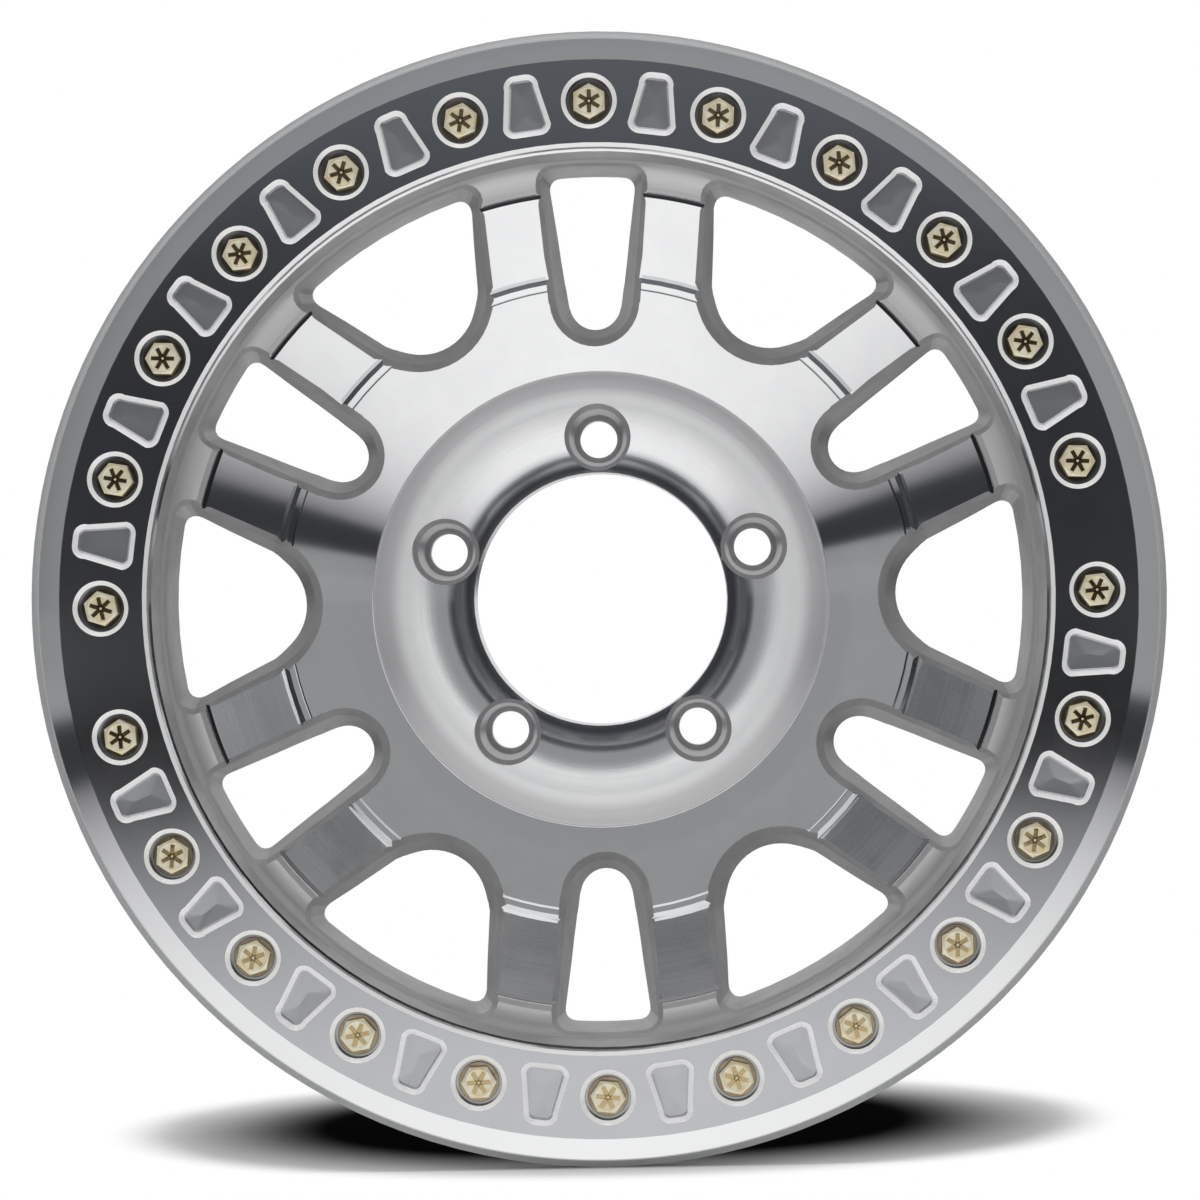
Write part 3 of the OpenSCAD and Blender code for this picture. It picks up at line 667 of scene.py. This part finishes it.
# partly painted highlight: near white, so the mouths read as light lines from every side
MOUTH_HIGHLIGHT_COLOUR = (0.97, 0.97, 0.97, 1.0)
RIDGE_LEAN, RING_SWELL_LEAN = 0.012, 0.003
POCKET_DRAW = -7.0
FLAT_H, RIM_EDGE_R = (138.86, 138.94), (234.2, 235.4)
RING_ROUGH, RING_POLISH, FLAT_POLISH, POCKET_POLISH, HOLE_POLISH = 0.20, 0.11, 0.02, 0.05, 0.08
MOUTH_BLUR, RIM_BLUR, CLOUD_BLUR = 0.15, 0.3, 0.03
MOUTH_MATT, POCKET_MATT, RIM_MATT = 0.65, 0.16, 0.9
ring_finish = Finish("clamp_ring_alloy")
place, radius, height, away = about_axis(ring_finish)
turned = ring_finish.attribute("turned")
dull = ring_finish.attribute("dull")
hole = ring_finish.attribute("counterbored")
mouth = ring_finish.attribute("bevelled")
flat = height.step(*FLAT_H) * turned
rim_edge = radius.step(*RIM_EDGE_R)
cloud = ring_finish.node("ShaderNodeTexNoise", {}, {"Vector": place, "Scale": 60.0, "Detail": 3.0})
flat_colour = ring_finish.mix(cloud, FLAT_DARK, FLAT_LIGHT)
colour = ring_finish.mix(flat, BEVEL_COLOUR, flat_colour)
for zone, grey in [(rim_edge, RIM_EDGE_GREY), (dull, POCKET_GREY),
                   (hole, HOLE_SHADE_GREY), (mouth, MOUTH_HIGHLIGHT_COLOUR)]:
    colour = ring_finish.mix(zone, colour, grey)
ring_normal = lathe_normal(ring_finish, radius, away, turned, RIDGE_LEAN, RING_SWELL_LEAN)
to_front = ring_finish.node("ShaderNodeCombineXYZ", values=[0.0, dull * POCKET_DRAW, 0.0])
roughness = RING_ROUGH - flat * FLAT_POLISH - RING_POLISH * turned - dull * POCKET_POLISH
roughness = roughness + mouth * MOUTH_BLUR + rim_edge * RIM_BLUR
roughness = roughness - hole * HOLE_POLISH + cloud * CLOUD_BLUR
ring_finish.set(
    Base_Color=colour,
    Roughness=roughness,
    Metallic=1.0 - mouth * MOUTH_MATT - dull * POCKET_MATT - rim_edge * RIM_MATT,
    Normal=ring_normal.vector("ADD", to_front).vector("NORMALIZE"),
)
ring.data.materials.clear()
ring.data.materials.append(ring_finish.material)
print("the ring has", len(ring_finish.tree.nodes), "nodes")

# %% [markdown]
# ## The ring bolts
# Each bolt is a common hexagon head bolt, yellow zinc plated. A conical chamfer cuts the corners
# of the hexagon and leaves a round flat on top, with six raised grade marks. Bevelling a hexagon
# would give straight cuts. So a hexagon prism is cut by a cone, the round flat is inset and sunk
# a little, and small bars are laid on it like a star. One bolt is modelled at the origin, with
# its head up, and copied to the 24 places.

# %% Helpers for the fasteners
def select_faces(obj, rule):
    """Selects the faces whose centre and normal meet the rule, for the next operator."""
    bpy.ops.object.mode_set(mode="EDIT")
    bpy.ops.mesh.select_mode(type="FACE")
    bpy.ops.mesh.select_all(action="DESELECT")
    bpy.ops.object.mode_set(mode="OBJECT")
    for face in obj.data.polygons:
        face.select = rule(face.center, face.normal)
    bpy.ops.object.mode_set(mode="EDIT")


def settle(obj):
    """Puts the object's place, turn and size into its mesh."""
    bpy.ops.object.select_all(action="DESELECT")
    obj.select_set(True)
    bpy.context.view_layer.objects.active = obj
    bpy.ops.object.transform_apply(location=True, rotation=True, scale=True)


print("fastener helpers are ready")

# %% One bolt head
BOLT_AF = 13.0
HEAD_H = 5.3
TOP_R = 5.72
CHAMFER_DEG = 28.0
CONE_BASE_R = 12.0
CONE_SIDES = 72
CUTTER_DEPTH = 6
HEX_START_DEG = 30
RIM_WIDTH, TOP_SINK = 0.25, 0.12
bpy.ops.object.select_all(action="DESELECT")
bpy.ops.mesh.primitive_cylinder_add(
    vertices=6, radius=BOLT_AF / math.sqrt(3) * MM, depth=HEAD_H * MM,
    location=(0, 0, HEAD_H / 2 * MM), rotation=(0, 0, math.radians(HEX_START_DEG)))
head = bpy.context.object
head.name = "bolt_head"
settle(head)
cone_rise = (CONE_BASE_R - TOP_R) * math.tan(math.radians(CHAMFER_DEG))
bpy.ops.mesh.primitive_cone_add(
    vertices=CONE_SIDES, radius1=CONE_BASE_R * MM, radius2=TOP_R * MM, depth=cone_rise * MM,
    location=(0, 0, (HEAD_H - cone_rise / 2) * MM))
cutter = bpy.context.object
select_faces(cutter, lambda centre, normal: normal.z < -0.9)
bpy.ops.mesh.extrude_region_move(TRANSFORM_OT_translate={"value": (0, 0, -CUTTER_DEPTH * MM)})
bpy.ops.object.mode_set(mode="OBJECT")
bpy.ops.object.select_all(action="DESELECT")
head.select_set(True)
bpy.context.view_layer.objects.active = head
cut = head.modifiers.new("chamfer", "BOOLEAN")
cut.operation = "INTERSECT"
cut.object = cutter
bpy.ops.object.modifier_apply(modifier="chamfer")
bpy.data.objects.remove(cutter)
select_faces(head, lambda centre, normal: normal.z > 0.99)
bpy.ops.mesh.dissolve_faces()
bpy.ops.mesh.inset(thickness=RIM_WIDTH * MM, depth=0.0)
bpy.ops.mesh.inset(thickness=RIM_WIDTH * MM, depth=-TOP_SINK * MM)
bpy.ops.object.mode_set(mode="OBJECT")
print("head faces:", len(head.data.polygons))

# %% Six raised grade marks
MARK_COUNT = 6
MARK_FROM, MARK_L, MARK_W, MARK_H = 0.5, 4.4, 1.8, 0.25
MARK_EDGE, MARK_SINK = 0.10, 0.05
bpy.ops.object.select_all(action="DESELECT")
bpy.ops.mesh.primitive_cube_add(
    size=1.0, location=((MARK_FROM + MARK_L / 2) * MM, 0, (HEAD_H - MARK_SINK) * MM),
    scale=(MARK_L * MM, MARK_W * MM, 2 * MARK_H * MM))
mark = bpy.context.object
settle(mark)
round_off = mark.modifiers.new("round", "BEVEL")
round_off.width = MARK_EDGE * MM
round_off.segments = 1
bpy.ops.object.modifier_apply(modifier="round")
marks = [mark]
for i in range(1, MARK_COUNT):
    twin = mark.copy()
    twin.data = mark.data.copy()
    twin.data.transform(Matrix.Rotation(math.radians(360 / MARK_COUNT * i), 4, "Z"))
    bpy.context.scene.collection.objects.link(twin)
    marks.append(twin)
print("grade marks:", len(marks))

# %% The shank, the rounded edges and the whole bolt
SHANK_R, SHANK_L, SHANK_SIDES, SHANK_CHAMFER = 4.0, 25.0, 32, 0.7
EDGE_ROUND, EDGE_MIN_DEG, BOLT_SMOOTH_DEG = 0.16, 20, 24
bpy.ops.object.select_all(action="DESELECT")
bpy.ops.mesh.primitive_cylinder_add(
    vertices=SHANK_SIDES, radius=SHANK_R * MM, depth=SHANK_L * MM,
    location=(0, 0, -SHANK_L / 2 * MM))
shank = bpy.context.object
settle(shank)
select_faces(shank, lambda centre, normal: normal.z < -0.9)
bpy.ops.mesh.bevel(offset=SHANK_CHAMFER * MM, segments=1)
bpy.ops.object.mode_set(mode="OBJECT")
soften = head.modifiers.new("soften", "BEVEL")
soften.width = EDGE_ROUND * MM
soften.segments = 2
soften.limit_method = "ANGLE"
soften.angle_limit = math.radians(EDGE_MIN_DEG)
bpy.context.view_layer.objects.active = head
bpy.ops.object.modifier_apply(modifier="soften")
for part, marked in [(head, 0.0), (shank, 0.0)] + [(m, 1.0) for m in marks]:
    store_mask(part, "mark", np.full(len(part.data.polygons), marked))
bpy.ops.object.select_all(action="DESELECT")
for part in [head, shank, *marks]:
    part.select_set(True)
bpy.context.view_layer.objects.active = head
bpy.ops.object.join()
bpy.ops.object.shade_smooth_by_angle(angle=math.radians(BOLT_SMOOTH_DEG))
print("one bolt:", len(head.data.polygons), "faces")

# %% [markdown]
# ## The washers
# A flat washer is punched from sheet, so its edges are slightly rolled. A cylinder with a hole
# cut through it would do. A circle that is extruded inwards to a flat band and given its
# thickness by Solidify has cleaner faces, and its edges are then rounded. Its flat keeps a small
# smoothing angle, so that the rounded edge doesn't tilt the light on it.

# %% One washer
WASHER_R, WASHER_HOLE_R, WASHER_T = 8.5, 4.4, 1.6
WASHER_SIDES, WASHER_EDGE, WASHER_SMOOTH_DEG = 64, 0.2, 12
bpy.ops.object.select_all(action="DESELECT")
bpy.ops.mesh.primitive_circle_add(
    vertices=WASHER_SIDES, radius=WASHER_R * MM, location=(0, 0, 0))
washer = bpy.context.object
bpy.ops.object.mode_set(mode="EDIT")
bpy.ops.mesh.select_all(action="SELECT")
bpy.ops.mesh.extrude_edges_move()
bpy.ops.transform.resize(value=(WASHER_HOLE_R / WASHER_R, WASHER_HOLE_R / WASHER_R, 1.0))
bpy.ops.mesh.select_all(action="SELECT")
bpy.ops.mesh.normals_make_consistent(inside=False)
bpy.ops.object.mode_set(mode="OBJECT")
if washer.data.polygons[0].normal.z < 0:
    bpy.ops.object.mode_set(mode="EDIT")
    bpy.ops.mesh.flip_normals()
    bpy.ops.object.mode_set(mode="OBJECT")
sheet_metal = washer.modifiers.new("thickness", "SOLIDIFY")
sheet_metal.thickness = WASHER_T * MM
sheet_metal.offset = 1.0
bpy.ops.object.modifier_apply(modifier="thickness")
rolled = washer.modifiers.new("rolled", "BEVEL")
rolled.width = WASHER_EDGE * MM
rolled.segments = 3
rolled.limit_method = "ANGLE"
bpy.ops.object.modifier_apply(modifier="rolled")
bpy.ops.object.shade_smooth_by_angle(angle=math.radians(WASHER_SMOOTH_DEG))
print("one washer:", len(washer.data.polygons), "faces,",
      "z", washer.bound_box[0][2], washer.bound_box[6][2])

# %% [markdown]
# ## Yellow zinc
# Zinc that is passivated yellow keeps a metal's gloss under a thin straw film, and the film is
# blotchy. The heads are lighter and half matt. The marks on them stand proud, and their darker
# brown is painted shade. The washers lie deep in their holes, and their dark brown is painted
# shade over a blotchy stain. Noise in object coordinates gives each bolt its own blotches, which
# one picture for all of them wouldn't.

# %% Zinc on the bolts
PLATING_DARK, PLATING_LIGHT = (0.80, 0.70, 0.46, 1.0), (0.86, 0.82, 0.66, 1.0)
# painted shade: the marks are a darker brown than the plating
MARK_SHADE_COLOUR = (0.52, 0.40, 0.21, 1.0)
HEAD_ROUGH, BLOTCH_BLUR, MARK_POLISH = 0.30, 0.10, 0.26
HEAD_METAL, MARK_METAL = 0.55, 0.45
zinc = Finish("yellow_zinc_bolt")
place = zinc.node("ShaderNodeTexCoord", out="Object")
mark_mask = zinc.attribute("mark")
blotch = zinc.node("ShaderNodeTexNoise", {}, {"Vector": place, "Scale": 260.0, "Detail": 3.0})
plating = zinc.mix(blotch.step(0.35, 0.65), PLATING_DARK, PLATING_LIGHT)
uneven = {"Strength": 0.2, "Distance": 0.0002, "Height": blotch}
zinc.set(
    Base_Color=zinc.mix(mark_mask, plating, MARK_SHADE_COLOUR),
    Roughness=HEAD_ROUGH + blotch * BLOTCH_BLUR - mark_mask * MARK_POLISH,
    Metallic=HEAD_METAL + mark_mask * MARK_METAL,
    Normal=zinc.node("ShaderNodeBump", {}, uneven),
)
print("bolt zinc is ready")

# %% Zinc on the washers
# painted shade over a blotchy stain: the washers are dark brown, as shade deep in their holes
STAIN_AND_SHADE_DARK, STAIN_AND_SHADE_LIGHT = (0.26, 0.20, 0.13, 1.0), (0.36, 0.30, 0.21, 1.0)
WASHER_ROUGH, STAIN_BLUR = 0.08, 0.06
shaded_washer_zinc = Finish("yellow_zinc_washer")
place = shaded_washer_zinc.node("ShaderNodeTexCoord", out="Object")
stain = shaded_washer_zinc.node("ShaderNodeTexNoise", {}, {"Vector": place, "Scale": 180.0, "Detail": 3.0})
shaded_washer_zinc.set(
    Base_Color=shaded_washer_zinc.mix(stain.step(0.35, 0.65), STAIN_AND_SHADE_DARK, STAIN_AND_SHADE_LIGHT),
    Roughness=WASHER_ROUGH + stain * STAIN_BLUR,
    Metallic=1.0,
)
print("washer zinc is ready")

# %% [markdown]
# ## The 24 places
# Every bolt sits on its washer, and every washer on the floor of its counterbore. An array
# modifier could repeat them, but as one mesh. Each copy is a piece of its own here, with its
# place in its mesh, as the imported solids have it. The heads are turned by an uneven step, because
# nobody stops a bolt at a set angle.

# %% Bolts and washers in place
BOLT_COUNT = 24
FIRST_DEG = 90
HEX_TURN_DEG = 60
BOLT_TURN_STEP = 37
WASHER_SEAT_H = 130.5
STAND_UP = Matrix.Rotation(math.radians(90), 4, "X")


def set_round_ring(master, name, height_mm, turn_step_deg, node, material):
    """Copies a fastener to every bolt hole, each with its own mesh."""
    for i in range(BOLT_COUNT):
        copy = master.copy()
        copy.data = master.data.copy()
        copy.name = f"{name}_{i + 1:02d}"
        around = Matrix.Rotation(math.radians(FIRST_DEG + i * 360 / BOLT_COUNT), 4, "Z")
        out = Matrix.Translation((BOLT_CIRCLE_R * MM, 0, height_mm * MM))
        own_turn = Matrix.Rotation(math.radians(i * turn_step_deg % HEX_TURN_DEG), 4, "Z")
        copy.data.transform(STAND_UP @ around @ out @ own_turn)
        copy.data.materials.clear()
        copy.data.materials.append(material)
        bpy.context.scene.collection.objects.link(copy)
        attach(copy, body)
        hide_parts(node)
    bpy.data.objects.remove(master)
    print(BOLT_COUNT, name, "copies")


set_round_ring(head, "ring_bolt", WASHER_SEAT_H + WASHER_T, BOLT_TURN_STEP,
               "ring_bolts", zinc.material)
set_round_ring(washer, "ring_washer", WASHER_SEAT_H, 0,
               "ring_washers", shaded_washer_zinc.material)
